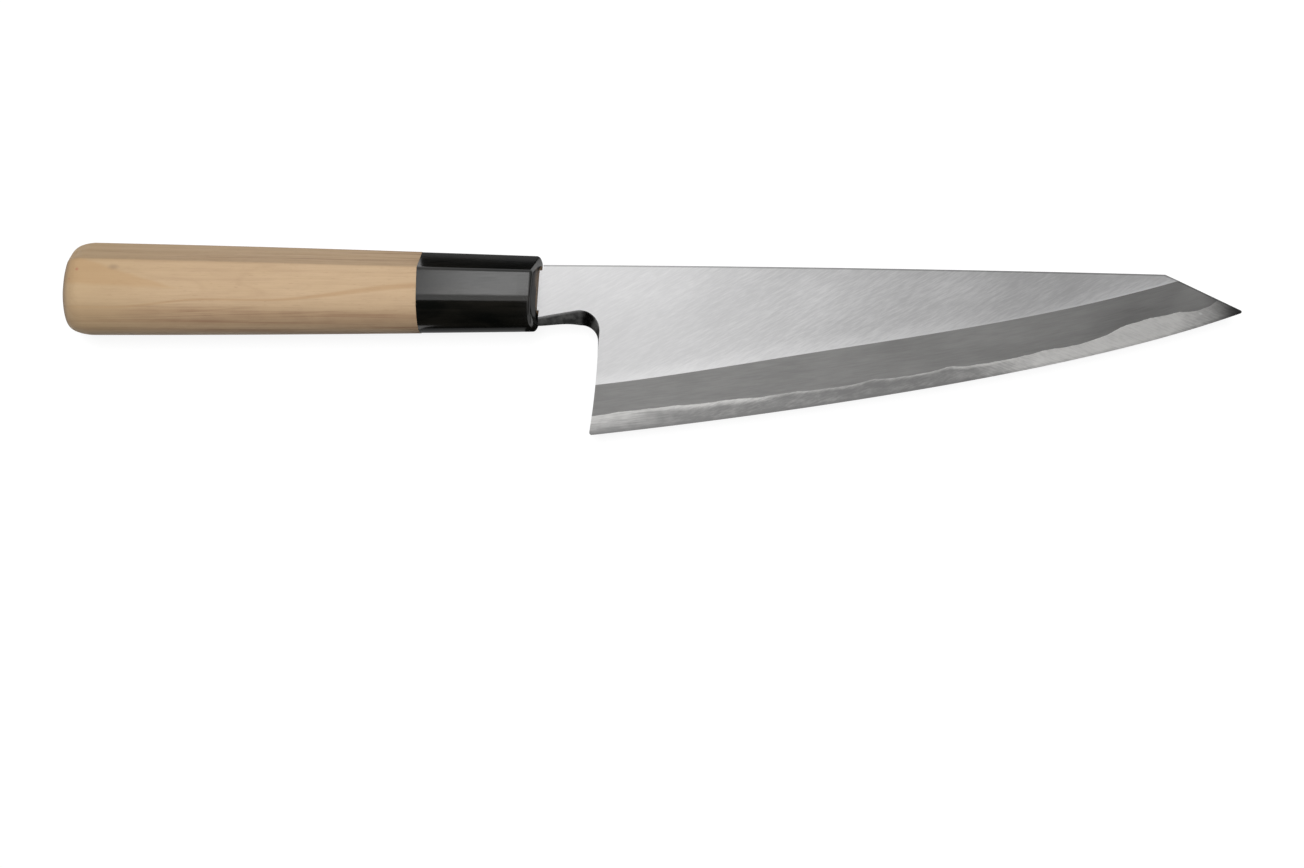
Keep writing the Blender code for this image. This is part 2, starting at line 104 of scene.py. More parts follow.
def loft(name, rings, finishes, strips=()):
    """A closed solid through rings. strips names the finish of its first strips, by index."""
    bm = bmesh.new()
    rows = [[bm.verts.new(point) for point in ring] for ring in rings]
    count = len(rows[0])
    for low, high in zip(rows, rows[1:]):
        for i in range(count):
            j = (i + 1) % count
            face = bm.faces.new((low[i], low[j], high[j], high[i]))
            face.material_index = strips[i] if i < len(strips) else 0
    bm.faces.new(rows[0])
    bm.faces.new(rows[-1])
    bmesh.ops.recalc_face_normals(bm, faces=bm.faces)
    mesh = bpy.data.meshes.new(name)
    bm.to_mesh(mesh)
    bm.free()
    for finish in finishes:
        mesh.materials.append(finish)
    return new_object(name, mesh)


def freeze(obj):
    """Turns what the modifiers make into the object's own plain mesh."""
    bpy.context.view_layer.update()
    evaluated = obj.evaluated_get(bpy.context.evaluated_depsgraph_get())
    mesh = bpy.data.meshes.new_from_object(evaluated)
    obj.modifiers.clear()
    obj.data = mesh
    return obj


def carve(obj, cutter, operation="DIFFERENCE"):
    step = obj.modifiers.new("carve", "BOOLEAN")
    step.operation = operation
    step.solver = "EXACT"
    step.material_mode = "TRANSFER"
    step.object = cutter
    freeze(obj)
    bpy.data.objects.remove(cutter, do_unlink=True)
    return obj


# %% Finish a piece and hand it to the frame
def settle(obj, node, sharp):
    """Smooth faces, sharp creases, its place in the frame, and the solid that it stands for."""
    obj.data.transform(Matrix.Translation(HOME))
    obj.data.shade_smooth()
    obj.data.set_sharp_from_angle(angle=math.radians(sharp))
    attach(obj, "root")
    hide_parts(node)
    low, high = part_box(node)
    size = [round((b - a) * 1000, 1) for a, b in zip(low, high)]
    print(f"{obj.name}: {len(obj.data.polygons)} faces, stands for {node}, {size} mm")
    return obj


# %% [markdown]
# ## Tools for formulas and finishes
#
# Finishes, and later the handle, are formulas, and each step of a formula is a node. `Value` holds a
# node's result and makes the next Math node from a plain +, -, * or /. `Finish` makes the other nodes of
# a material, one a call. Patterns are read from Object coordinates, which stay put on the piece, or from
# the blade's own map, which follows the cutting edge.

# %% Formulas that build nodes
def put(tree, socket, value):
    """Links a Value to a socket, or sets a plain number, place or colour on it."""
    if isinstance(value, Value):
        tree.links.new(value.socket, socket)
    else:
        socket.default_value = (*value, 1) if socket.type == "RGBA" else value


def grey(shade):
    return (shade, shade, shade)


def fill(tree, node, *values, **named):
    """Fills a node's inputs, in their order or by names with a capital. Other names are settings."""
    for key, value in named.items():
        if key[0].isupper():
            put(tree, node.inputs[key.replace("_", " ")], value)
        else:
            setattr(node, key, value)
    for socket, value in zip(node.inputs, values):
        put(tree, socket, value)
    return node


def result(tree, kind, *values, output=0, **named):
    """What a new node gives."""
    return Value(tree, fill(tree, tree.nodes.new(kind), *values, **named).outputs[output])


def calc(operation, *values):
    """A Math node, where at least one of the values is a Value."""
    tree = next(value.tree for value in values if isinstance(value, Value))
    return result(tree, "ShaderNodeMath", *values, operation=operation)


class Value:
    """The result of a node. Plain arithmetic with it makes Math nodes."""

    def __init__(self, tree, socket):
        self.tree, self.socket = tree, socket

    def __add__(self, other): return calc("ADD", self, other)
    def __sub__(self, other): return calc("SUBTRACT", self, other)
    def __mul__(self, other): return calc("MULTIPLY", self, other)
    def __truediv__(self, other): return calc("DIVIDE", self, other)
    def __pow__(self, other): return calc("POWER", self, other)
    def __rsub__(self, other): return calc("SUBTRACT", other, self)
    def __rtruediv__(self, other): return calc("DIVIDE", other, self)
    def __neg__(self): return calc("MULTIPLY", self, -1.0)
    def __abs__(self): return calc("ABSOLUTE", self)

    def apart(self):
        """X, Y and Z of a vector, each by itself."""
        node = fill(self.tree, self.tree.nodes.new("ShaderNodeSeparateXYZ"), self)
        return [Value(self.tree, axis) for axis in node.outputs]

    def between(self, low, high, start=0.0, end=1.0):
        """Carried from low..high to start..end, with soft ends and no change past them."""
        reach = (low, high, start, end)
        return result(self.tree, "ShaderNodeMapRange", self, *reach, interpolation_type="SMOOTHSTEP")


# %% A tool that builds shader trees
class Finish:
    def __init__(self, name, **inputs):
        self.material = bpy.data.materials.new(name)
        self.material.use_nodes = True
        self.tree = self.material.node_tree
        self.set(**inputs)

    def set(self, **inputs):
        """Sets or links inputs of the surface."""
        fill(self.tree, self.tree.nodes["Principled BSDF"], **inputs)

    def mapped(self, vector, **inputs):
        return result(self.tree, "ShaderNodeMapping", vector, **inputs)

    def object_at(self, turn=0.0, stretch=(1, 1, 1), centre=(0, 0, 0)):
        """Object coordinates about a centre, turned about Z, then stretched."""
        place = result(self.tree, "ShaderNodeTexCoord", output="Object")
        moved = self.mapped(place, Location=[-value for value in centre])
        turned = self.mapped(moved, Rotation=(0, 0, -math.radians(turn)))
        return self.mapped(turned, Scale=stretch)

    def knife_axes(self):
        """X, Y and Z from the knife's own origin."""
        return self.object_at(centre=HOME).apart()

    def edge_map(self, stretch=(1, 1, 1)):
        """The blade's own map: X along the knife, Y up from the cutting edge, in metres."""
        return self.mapped(result(self.tree, "ShaderNodeUVMap", uv_map="edge_run"), Scale=stretch)

    def joined(self, *values):
        return result(self.tree, "ShaderNodeCombineXYZ", *values)

    def attribute(self, name):
        return result(self.tree, "ShaderNodeAttribute", attribute_name=name, output="Fac")

    def noise(self, vector, **inputs):
        inputs = {"Scale": 1.0, "Detail": 3.0, **inputs}
        return result(self.tree, "ShaderNodeTexNoise", vector, output="Fac", **inputs)

    def grain(self, turn, stretch, centre=(0, 0, 0), **inputs):
        """Noise that is turned and stretched into lines."""
        return self.noise(self.object_at(turn, stretch, centre), **inputs)

    def mix(self, share, first, second, blend="MIX"):
        node = self.tree.nodes.new("ShaderNodeMix")
        fill(self.tree, node, share, data_type="RGBA", blend_type=blend)
        put(self.tree, node.inputs[6], first)
        put(self.tree, node.inputs[7], second)
        return Value(self.tree, node.outputs[2])

    def spot(self, centre, size, turn=0.0):
        """1 in the middle of an oval patch and 0 outside it."""
        at = self.object_at(turn, [1 / value for value in size], Vector(centre) + HOME)
        distance = result(self.tree, "ShaderNodeVectorMath", at, output="Value", operation="LENGTH")
        return distance.between(0.0, 1.0, 1.0, 0.0)

    def bump(self, height, distance, strength):
        self.set(Normal=result(self.tree, "ShaderNodeBump", Strength=strength, Distance=distance,
                               Height=height))


# %% [markdown]
# ## Finishes of the blade
#
# The flat is left from a coarse stone that was drawn slantwise, so its scratches rise to the right and
# it shines softly. The bevel is rubbed with stone powder, which leaves the iron hazy and dull with
# faint lines along the edge. The hard steel takes a brighter polish from the same stones, more where
# the hand pressed. The scoop under the neck is buffed; it faces dark surroundings, and its colour is
# painted near black as shade for them, with a painted highlight along its upper rim.

# %% The satin flat
OFF_GRID = (0, 0, 0.37)    # noise is too even where its third coordinate is whole
FLECK_LIMIT = 0.41    # the few far lower values of the noise would be black flecks


def broken_corner_shade(finish, colour):
    """Painted shade: the corner along the spine and the clip is broken with a stone, turns from the light
    and is painted darker.
    """
    share = finish.attribute("top_fall").between(0.0001, 0.0006, 0.55, 0.0)
    return finish.mix(share, colour, grey(0.10))


def satin_flat():
    finish = Finish("satin_flat", Metallic=1.0)
    x, _, _ = finish.knife_axes()
    fine = finish.grain(28, (300, 2300, 1), OFF_GRID, Roughness=0.68)
    broad = finish.grain(31, (110, 1300, 1), OFF_GRID)
    arcs = finish.grain(33, (90, 1500, 1), OFF_GRID, Distortion=0.35)
    cloud = finish.grain(12, (1, 1.6, 1), Scale=38)
    lines = fine * 0.68 + finish.mix(x.between(0.10, 0.16, 0.0, 0.7), broad, arcs) * 0.32
    lines = calc("MAXIMUM", lines, FLECK_LIMIT)

    # The flat is brighter along the grind line, with a thin painted highlight on the line itself
    rise = finish.attribute("grind_rise")
    grind_highlight = rise.between(0.0, 0.0007, 0.30, 0.0) * x.between(0.065, 0.095)
    grind_band_and_highlight = rise.between(0.0, 0.0050, 0.22, 0.0) + grind_highlight
    tone = (cloud * 0.32 + lines * 0.68 - 0.5) * x.between(0.0, 0.100, 0.9, 2.1) + 0.5 + grind_band_and_highlight
    colour = finish.mix(tone.between(0.25, 1.00), (0.590, 0.588, 0.592), (0.800, 0.797, 0.800))
    colour = finish.mix(x.between(0.142, 0.168), colour, grey(1.22), "MULTIPLY")
    finish.set(Base_Color=broken_corner_shade(finish, colour), Roughness=lines.between(0.3, 0.7, 0.27, 0.33))
    return finish.material


# %% The hazy iron of the bevel
def tip_painted_dark(finish, colour):
    """Painted shade: the last few millimetres are rolled over by hand, turn away from the light and are
    painted dark.
    """
    x, y, _ = finish.knife_axes()
    return finish.mix((y * 0.35 + x).between(0.1830, 0.1935, 0.0, 0.92), colour, grey(0.02))


def hazed_iron():
    finish = Finish("hazed_iron", Metallic=1.0)
    x, _, _ = finish.knife_axes()
    lines = finish.noise(finish.edge_map((170, 2300, 1)), Roughness=0.7)
    streaks = finish.noise(finish.edge_map((45, 520, 1)), Distortion=0.3)
    cloud = finish.noise(finish.edge_map((1, 1.8, 1)), Scale=70, Detail=4, Distortion=0.4)
    tone = cloud * 0.30 + (lines * 0.45 + streaks * 0.25)
    colour = finish.mix(tone.between(0.30, 0.70), (0.322, 0.319, 0.314), (0.412, 0.408, 0.402))
    # Painted shade: the bevel is darkened a little before the tip, where it turns from the light
    turned = x.between(0.140, 0.162) * x.between(0.184, 0.173)
    colour = tip_painted_dark(finish, finish.mix(turned * 0.15, colour, grey(0.02)))
    finish.set(Base_Color=broken_corner_shade(finish, colour), Roughness=cloud.between(0.3, 0.7, 0.38, 0.46))
    finish.bump(lines, 0.000010, 0.35)
    return finish.material


# %% The polished edge steel
def edge_steel():
    finish = Finish("edge_steel", Metallic=1.0)
    x, _, _ = finish.knife_axes()
    lines = finish.noise(finish.edge_map((120, 2600, 1)), Roughness=0.7)
    hatch = finish.grain(21, (420, 2300, 1), Roughness=0.7)
    slant = finish.grain(-20, (260, 2300, 1), Detail=4, Roughness=0.7)
    cloud = finish.noise(finish.edge_map((1, 1.5, 1)), Scale=230, Detail=4, Distortion=0.3)
    scratches = finish.mix(x.between(0.028, 0.050), lines, hatch)
    scratches = finish.mix(x.between(0.108, 0.130), scratches, slant)
    tone = cloud * 0.4 + scratches * 0.6

    # The stones polish it under the weld line, over the heel and most of all before the tip
    depth = -finish.attribute("weld_rise")
    reach = x.between(0.056, 0.072, 0.0019, 0.0009) + x.between(0.108, 0.122, 0.0, 0.0006)
    line = (depth / reach).between(0.1, 1.0, 1.0, 0.0) * x.between(0.178, 0.186, 1.0, 0.5)
    strength = x.between(0.056, 0.072, 0.85, 0.50) + x.between(0.108, 0.122, 0.0, 0.40)
    heel = x.between(0.018, 0.042, 0.84, 0.0) * depth.between(0.0006, 0.0048, 1.0, 0.15)
    point = x.between(0.111, 0.145) * x.between(0.173, 0.188, 1.14, 0.50)
    polish = calc("MAXIMUM", heel + point, line * strength)

    # It stays dull in a streak under the line, and it is darker along the edge itself
    under = depth.between(0.0007, 0.0013) * depth.between(0.0030, 0.0018)
    middle = x.between(0.074, 0.086) * x.between(0.114, 0.104)
    darker_at_edge = finish.edge_map().apart()[1].between(0.0001, 0.0012, 0.40, 0.0)
    polish = polish - under * middle * 0.20 - darker_at_edge + tone.between(0.34, 0.66, -0.24, 0.24)
    colour = finish.mix(polish.between(-0.35, 1.45), (0.335, 0.332, 0.330), (0.985, 0.975, 0.955))
    # A painted highlight: a small white glint on the steel just before the tip
    painted_glint = finish.spot((0.1832, -0.0034, 0.001), (0.0009, 0.0005, 0.01), -20)
    colour = tip_painted_dark(finish, finish.mix(painted_glint * 0.7, colour, grey(1.0)))
    finish.set(Base_Color=broken_corner_shade(finish, colour), Roughness=tone.between(0.3, 0.7, 0.34, 0.42))
    finish.bump(scratches, 0.000008, 0.3)
    return finish.material


# %% The steel of the hollow back, the filed edges and the scoop
def stoned_steel():
    finish = Finish("stoned_steel", Metallic=1.0)
    arcs = finish.grain(84, (50, 2600, 1), Roughness=0.7)
    cloud = finish.noise(finish.object_at(), Scale=45)
    tone = (cloud * 0.35 + arcs * 0.65).between(0.3, 0.7)
    finish.set(Base_Color=finish.mix(tone, (0.56, 0.56, 0.565), (0.68, 0.68, 0.685)))
    finish.set(Roughness=arcs.between(0.3, 0.7, 0.2, 0.3))
    finish.bump(arcs, 0.00001, 0.4)
    return finish.material


def filed_iron():
    finish = Finish("filed_iron", Roughness=0.36, Metallic=1.0)
    strokes = finish.grain(0, (500, 500, 4200), Roughness=0.7)
    finish.set(Base_Color=finish.mix(strokes.between(0.3, 0.7), grey(0.30), grey(0.48)))
    finish.bump(strokes, 0.00001, 0.4)
    return finish.material


def buffed_scoop_painted_dark():
    finish = Finish("buffed_scoop_painted_dark", Metallic=1.0)
    grain = finish.noise(finish.object_at(), Scale=700)
    # Painted shade: the colour is near black for the dark surroundings the scoop mirrors, and a painted
    # highlight lightens its upper rim
    colour = finish.mix(grain.between(0.3, 0.7), grey(0.030), (0.075, 0.075, 0.073))
    painted_rim_highlight = finish.knife_axes()[2].between(0.0036, 0.0046, 0.0, 0.45)
    finish.set(Base_Color=finish.mix(painted_rim_highlight, colour, grey(0.50)))
    finish.set(Roughness=grain.between(0.3, 0.7, 0.20, 0.32))
    finish.bump(grain, 0.00001, 0.2)
    return finish.material


FLAT, BEVEL, STEEL = satin_flat(), hazed_iron(), edge_steel()
BACK, WALL, SCOOP = stoned_steel(), filed_iron(), buffed_scoop_painted_dark()
print("blade finishes:", ", ".join(m.name for m in (FLAT, BEVEL, STEEL, BACK, WALL, SCOOP)))

# %% [markdown]
# ## The blade's outline
#
# The spine is a straight line with a slight crown, clipped towards the tip. The edge is nearly straight
# at the heel, sweeps up and lifts at the tip. Three shares of one rise describe it, which keeps the
# curve free of bumps, where a hand-drawn line of many points would wobble.

# %% Lines of the outline
def smooth_step(share):
    share = min(max(share, 0.0), 1.0)
    return share * share * (3 - 2 * share)


def shoulder_x(y):
    return y * SHOULDER_LEAN - SHOULDER_SET


def spine_y(x):
    share = x / CLIP_X
    return SPINE_RISE - SPINE_FALL * share + SPINE_BOW * 4 * share * (1 - share)


def top_y(x):
    if x <= CLIP_X:
        return spine_y(x)
    return spine_y(CLIP_X) + (TIP_Y - spine_y(CLIP_X)) * (x - CLIP_X) / CLIP_RUN


def edge_y(x):
    share = (x - HEEL_X) / BLADE_LENGTH
    rise = TIP_Y - HEEL_Y
    if share < 0:
        return HEEL_Y + rise * EDGE_STRAIGHT * share
    lift = (1 - EDGE_STRAIGHT - EDGE_SWEEP) * share**6
    return HEEL_Y + rise * (EDGE_STRAIGHT * share + EDGE_SWEEP * share**2 + lift)


def choil_x(y):
    top = NECK_Y - CHOIL_RADIUS
    share = min(max((top - y) / (top - HEEL_Y), 0.0), 1.0)
    return HEEL_X + CHOIL_LEAN * (1 - share**CHOIL_POWER)


# %% The whole outline, with its corners rounded by arcs
ARC_STEPS = 36
EDGE_X = list(np.linspace(HEEL_X, TIP_X, 111))


def arc_corner(before, corner, after, radius):
    a = (Vector(before) - Vector(corner)).normalized()
    b = (Vector(after) - Vector(corner)).normalized()
    half = a.angle(b) / 2
    centre = Vector(corner) + (a + b).normalized() * (radius / math.sin(half))
    start = Vector(corner) + a * (radius / math.tan(half)) - centre
    end = Vector(corner) + b * (radius / math.tan(half)) - centre
    turn = start.angle_signed(end)
    turns = [Matrix.Rotation(-turn * k / ARC_STEPS, 2) for k in range(ARC_STEPS + 1)]
    return [tuple(centre + turned @ start) for turned in turns]


def blade_outline():
    points = [(x, spine_y(x)) for x in np.linspace(shoulder_x(SPINE_RISE), CLIP_X, 45)]
    edge = [(x, edge_y(x)) for x in reversed(EDGE_X)]
    near_tip = (TIP_X - 2 * TIP_RADIUS, edge_y(TIP_X - 2 * TIP_RADIUS))
    points += arc_corner(points[-1], (TIP_X, TIP_Y), near_tip, TIP_RADIUS)
    points += [at for at in edge[1:-1] if at[0] < points[-1][0] - TIP_RADIUS / 2]
    choil_top = NECK_Y - CHOIL_RADIUS
    choil = [(choil_x(y), y) for y in np.linspace(HEEL_Y, choil_top, 25)]
    points += arc_corner(edge[-2], edge[-1], choil[1], HEEL_RADIUS)
    points += choil[1:-1]
    points += arc_corner(choil[-1], (CHOIL_X, NECK_Y), (0, NECK_Y), CHOIL_RADIUS)
    neck_run = CHOIL_X - CHOIL_RADIUS - shoulder_x(NECK_Y)
    for share in np.linspace(1, 0, 15)[1:]:
        arch = NECK_ARCH * math.sin(math.pi * share**1.5) - NECK_FALL * (1 - share)
        points.append((shoulder_x(NECK_Y) + neck_run * share, NECK_Y + arch))
    return points


print("outline points:", len(blade_outline()))

# %% [markdown]
# ## Grinding the blade
#
# A smith grinds a blank in passes: the flat, the bevel, the hollow of the back. Each pass is a solid
# here and is carved away in turn, so the grind line falls where the two planes meet and needs no
# drawing. The flat thins towards the tip, and the bevel twists with it.

# %% Heights of the front, and the wheel that grinds it
def bevel_width(x):
    past_heel = x - HEEL_X
    narrower = BEVEL_NARROWING * (1 - smooth_step(past_heel / BEVEL_WIDENS_OVER))
    tapered = BEVEL_TAPER * smooth_step((past_heel - BEVEL_WIDENS_OVER) / BEVEL_WIDENS_OVER)
    return BEVEL_WIDTH - narrower - tapered


def flat_z(x, y):
    run = max(0.0, x - STEEL_SETBACK) / (CLIP_X - STEEL_SETBACK)
    across = (SPINE_RISE - y) / HEEL_HEIGHT
    return NECK_THICKNESS - (NECK_THICKNESS - CLIP_THICKNESS) * run - FLAT_THINNING * across


def bevel_slope(x):
    grind = edge_y(x) + bevel_width(x)
    return (flat_z(x, grind) - EDGE_THICKNESS) / bevel_width(x)


def grinding_wheel():
    rings = []
    ceiling = NECK_THICKNESS + SPARE
    for x in [-SPARE, STEEL_SETBACK, HEEL_X / 2] + EDGE_X + [TIP_X + SPARE]:
        low = edge_y(x)
        grind = low + bevel_width(x)
        high = SPINE_RISE + SPARE
        rings.append([
            (x, high, flat_z(x, high)),
            (x, grind, flat_z(x, grind)),
            (x, low, EDGE_THICKNESS),
            (x, low - SPARE, EDGE_THICKNESS - bevel_slope(x) * SPARE),
            (x, low - SPARE, ceiling),
            (x, high, ceiling),
        ])
    return loft("grinding_wheel", rings, [WALL, FLAT, BEVEL], (1, 2))


# %% The wheel that hollows the back
HOLLOW_DEPTH, SPINE_RIM, EDGE_RIM = 0.00045, 0.0026, 0.0018
HOLLOW_START, HOLLOW_RUN_IN, HOLLOW_RUN_OUT, HOLLOW_LIFT = 0.0066, 0.024, 0.018, 0.00012
PAST_RIM = 1.2


def hollowing_wheel():
    last = CLIP_X
    while top_y(last) - SPINE_RIM - edge_y(last) - EDGE_RIM > 2 * EDGE_RIM and last < TIP_X:
        last += EDGE_RIM
    full = HEEL_HEIGHT - SPINE_RIM - EDGE_RIM
    rings = []
    for x in np.linspace(HOLLOW_START, last, 90):
        low = edge_y(x) + EDGE_RIM
        high = top_y(x) - SPINE_RIM
        middle, half = (low + high) / 2, (high - low) / 2
        run_in = smooth_step((x - HOLLOW_START) / HOLLOW_RUN_IN)
        run_out = smooth_step((last - x) / HOLLOW_RUN_OUT)
        depth = HOLLOW_DEPTH * 2 * half / full * run_in
        lift = HOLLOW_LIFT * (2 - run_in - run_out)
        across = np.linspace(-PAST_RIM, PAST_RIM, 31)
        ring = [(x, middle + half * s, depth * (1 - s * s) - lift) for s in across]
        rings.append(ring + [(x, middle + half * s, -SPARE) for s in (PAST_RIM, -PAST_RIM)])
    return loft("hollowing_wheel", rings, [BACK])


# %% [markdown]
# The scoop under the neck is filed by hand so that the finger doesn't meet a square corner. A round
# file drawn along the neck, turned at the corner and run out down the choil leaves three simple shapes:
# a rod, a ball and a second rod.

# %% The round files of the scoop
FILE_RADIUS, FILE_LIFT, FILE_SIDES = 0.0072, 0.0046, 120
SCOOP_AT_FERRULE, SCOOP_AT_CORNER, SCOOP_AT_CHOIL, SCOOP_DROP = 0.00185, 0.00385, 0.00045, 0.0120


def file_solid(name, build, place, **sizes):
    bm = bmesh.new()
    build(bm, matrix=place, **sizes)
    mesh = bpy.data.meshes.new(name)
    bm.to_mesh(mesh)
    bm.free()
    mesh.materials.append(SCOOP)
    return new_object(name, mesh)


def rod(name, start, end):
    along = end - start
    place = Matrix.Translation((start + end) / 2) @ along.to_track_quat("Z", "Y").to_matrix().to_4x4()
    return file_solid(name, bmesh.ops.create_cone, place, cap_ends=True, segments=FILE_SIDES,
                      radius1=FILE_RADIUS, radius2=FILE_RADIUS, depth=along.length)


def ball(name, centre):
    return file_solid(name, bmesh.ops.create_uvsphere, Matrix.Translation(centre),
                      u_segments=FILE_SIDES, v_segments=FILE_SIDES // 2, radius=FILE_RADIUS)


def scoop_files():
    reach = math.sqrt(FILE_RADIUS**2 - FILE_LIFT**2)
    corner = (CHOIL_X + SCOOP_AT_CHOIL - reach, NECK_Y + SCOOP_AT_CORNER - reach)
    neck = (0.0, NECK_Y + SCOOP_AT_FERRULE - reach)
    foot = (choil_x(corner[1] - SCOOP_DROP) - reach, corner[1] - SCOOP_DROP)
    at_corner, at_neck, at_foot = (
        Vector((x, y, flat_z(x, y) + FILE_LIFT)) for x, y in (corner, neck, foot)
    )
    past_neck = at_neck + (at_neck - at_corner).normalized() * SPARE
    return [
        rod("neck_file", past_neck, at_corner),
        ball("corner_file", at_corner),
        rod("choil_file", at_corner, at_foot),
    ]


# %% [markdown]
# ## The weld between iron and steel
#
# The steel lies under the iron, and the bevel cuts through both, so their border shows as a line along
# the edge. A forge weld is never quite even, so the line wanders: it runs close to the edge in the
# middle of the blade and swells before the tip. A few widths, eased from one to the next, describe it.

# %% The wandering weld line
WELD_WIDTHS = (
    (0.000, 4.8), (0.016, 5.2), (0.021, 5.55), (0.037, 5.5), (0.044, 5.15), (0.053, 5.2), (0.061, 4.75),
    (0.069, 4.9), (0.078, 4.5), (0.086, 4.4), (0.092, 5.0), (0.099, 4.45), (0.107, 4.4), (0.1135, 4.95),
    (0.119, 4.2), (0.128, 3.95), (0.1355, 4.05), (0.139, 4.4), (0.149, 3.95), (0.1545, 4.4), (0.163, 6.2),
    (0.168, 6.4), (0.176, 5.95), (0.1825, 4.75), (0.186, 4.9), (0.190, 8.0),
)


def weld_width(x):
    xs = [at for at, _ in WELD_WIDTHS]
    k = min(max(int(np.searchsorted(xs, x)), 1), len(xs) - 1)
    (x0, w0), (x1, w1) = WELD_WIDTHS[k - 1], WELD_WIDTHS[k]
    wander = 0.05 * math.sin(x * 900) + 0.04 * math.sin(x * 2300 + 1)
    return (w0 + (w1 - w0) * smooth_step((x - x0) / (x1 - x0)) + wander) / 1000


def layer_block(name, gap):
    """Everything under the weld line, from the steel's rear end to past the tip."""
    rings = []
    for x in [STEEL_SETBACK - gap] + EDGE_X + [TIP_X + SPARE]:
        top = EDGE_THICKNESS + bevel_slope(x) * weld_width(x) + gap
        low, high = HEEL_Y - SPARE, SPINE_RISE + SPARE
        rings.append([(x, low, -SPARE), (x, high, -SPARE), (x, high, top), (x, low, top)])
    return loft(name, rings, [WALL])


# %% The tang
TANG_HEIGHT, TANG_THICKNESS, TANG_CHAMFER = 0.0110, 0.0042, 0.0008
TANG_DROP, TANG_REAR, TANG_FRONT = 0.0015, -0.030, 0.0030
TANG_Y = SPINE_RISE - TANG_DROP - TANG_HEIGHT / 2
ROOT_REAR, ROOT_PROUD = -0.0018, 0.0012
WELD_GAP = 0.000004


def tang_bar(name, clearance, rear, front, proud=0.0):
    """The square bar with eased corners that the handle swallows, or the slot that clears it."""
    y, z = TANG_HEIGHT / 2 + clearance, TANG_THICKNESS / 2 + clearance
    cut = TANG_CHAMFER
    corners = [(y - cut, -z), (y, cut - z), (y, z - cut), (y - cut, z)]
    corners += [(-v, -w) for v, w in corners]
    section = [(TANG_Y + v, MIDDLE_Z + w + (proud if w > 0 else 0)) for v, w in corners]
    return loft(name, [[(x, y, z) for y, z in section] for x in (rear, front)], [WALL])


# %% Grind the blank and split it into its two layers
outline = blade_outline()
blank = loft("blade_blank", [[(x, y, z) for x, y in outline] for z in (0.0, BLANK_THICKNESS)], [WALL])
carve(blank, tang_bar("tang", 0.0, TANG_REAR, TANG_FRONT), "UNION")
carve(blank, tang_bar("tang_root", 0.0, ROOT_REAR, TANG_FRONT, proud=ROOT_PROUD), "UNION")
for cutter in [grinding_wheel(), *scoop_files(), hollowing_wheel()]:
    carve(blank, cutter)

iron_layer = new_object("iron_layer", blank.data.copy())
carve(iron_layer, layer_block("above_weld", WELD_GAP))
steel_layer = new_object("steel_layer", blank.data.copy())
carve(steel_layer, layer_block("below_weld", 0.0), "INTERSECT")
bpy.data.objects.remove(blank, do_unlink=True)
print("iron faces:", len(iron_layer.data.polygons), "steel faces:", len(steel_layer.data.polygons))

# %% [markdown]
# The finishes need to know where the edge, the grind line and the weld line run. Each corner of the
# mesh stores how far it lies above them, and a map whose second axis climbs from the cutting edge, so
# that a scratch pattern bends with the blade.

# %% Write the blade's own map and distances
def store(obj, name, values):
    """One number a point, which a finish reads by its name."""
    obj.data.attributes.new(name, "FLOAT", "POINT").data.foreach_set("value", values)


def measure_blade(obj):
    uv = obj.data.uv_layers.new(name="edge_run")
    points = [(v.co.x, v.co.y, v.co.y - edge_y(v.co.x)) for v in obj.data.vertices]
    store(obj, "grind_rise", [rise - bevel_width(x) for x, _, rise in points])
    store(obj, "weld_rise", [rise - weld_width(x) for x, _, rise in points])
    store(obj, "top_fall", [top_y(x) - y for x, y, _ in points])
    for loop in obj.data.loops:
        x, _, rise = points[loop.vertex_index]
        uv.data[loop.index].uv = (x, rise)


def back_faces(obj, finish):
    """Gives the flat rim of the back the finish of the hollow."""
    if obj.data.materials.find(finish.name) < 0:
        obj.data.materials.append(finish)
    slot = obj.data.materials.find(finish.name)
    for face in obj.data.polygons:
        if face.normal.z < -0.9:
            face.material_index = slot


for slot, finish in enumerate(steel_layer.data.materials):
    if finish == BEVEL:
        steel_layer.data.materials[slot] = STEEL
for layer in (iron_layer, steel_layer):
    measure_blade(layer)
    back_faces(layer, BACK)
settle(iron_layer, "blade_cladding", sharp=4.5)
settle(steel_layer, "blade_edge_steel", sharp=4.5)

# %% [markdown]
# ## The handle
#
# The handle is one rule from butt to ferrule: a squarish oval, planed flat on both sides of a ridge,
# that tapers forward. A shape that follows a rule suits Geometry Nodes. The tree below starts from a
# flat grid, reads each point's column as a place along the handle and its row as an angle round it, and
# moves it there by formula. Wood and horn use the same tree with other inputs, so they meet without a
# step. The planes are cut with a soft maximum, which rounds the ridge as sandpaper does.

# %% The inputs of the rule, with the shaft's own values
JOINT_X = -0.0334
HANDLE_INPUTS = {
    "Start": -0.13109, "End": JOINT_X, "Crowding": 2.4, "Handle length": 0.1312,
    "Butt height": 0.02604, "Front height": 0.0212, "Butt width": 0.02179, "Front width": 0.0178,
    "Belly": 0.0006, "Butt ridge": 0.0072, "Front ridge": 0.0055, "Upper flat end": 0.0015,
    "Side flat end": 0.0020, "Squareness": 2.2, "Softness": 0.0006, "Inset at joint": 0.0,
    "Ridge left at end": 0.55, "Ridge fade": 0.008, "Round length": 0.0070,
    "Round high": 1.0, "High flatness": 1.6, "High fullness": 9.5,
    "Round wide": 1.0, "Wide flatness": 2.0, "Wide fullness": 2.5,
    "Lean": 0.0367, "Lean length": 0.0070, "Bulge": 0.0, "Crown": 0.0008, "Worn top": 0.0005,
}


# %% The parts of the rule: oval, plane and rounding
def oval_reach(offset, half_a, half_b, power):
    """How far out the oval is in one direction, at an offset in the other."""
    return half_b * (1.0 - (offset / half_a) ** power) ** (1.0 / power)


def oval_point(wave, half, power):
    return half * calc("SIGN", wave) * abs(wave) ** (2.0 / power)


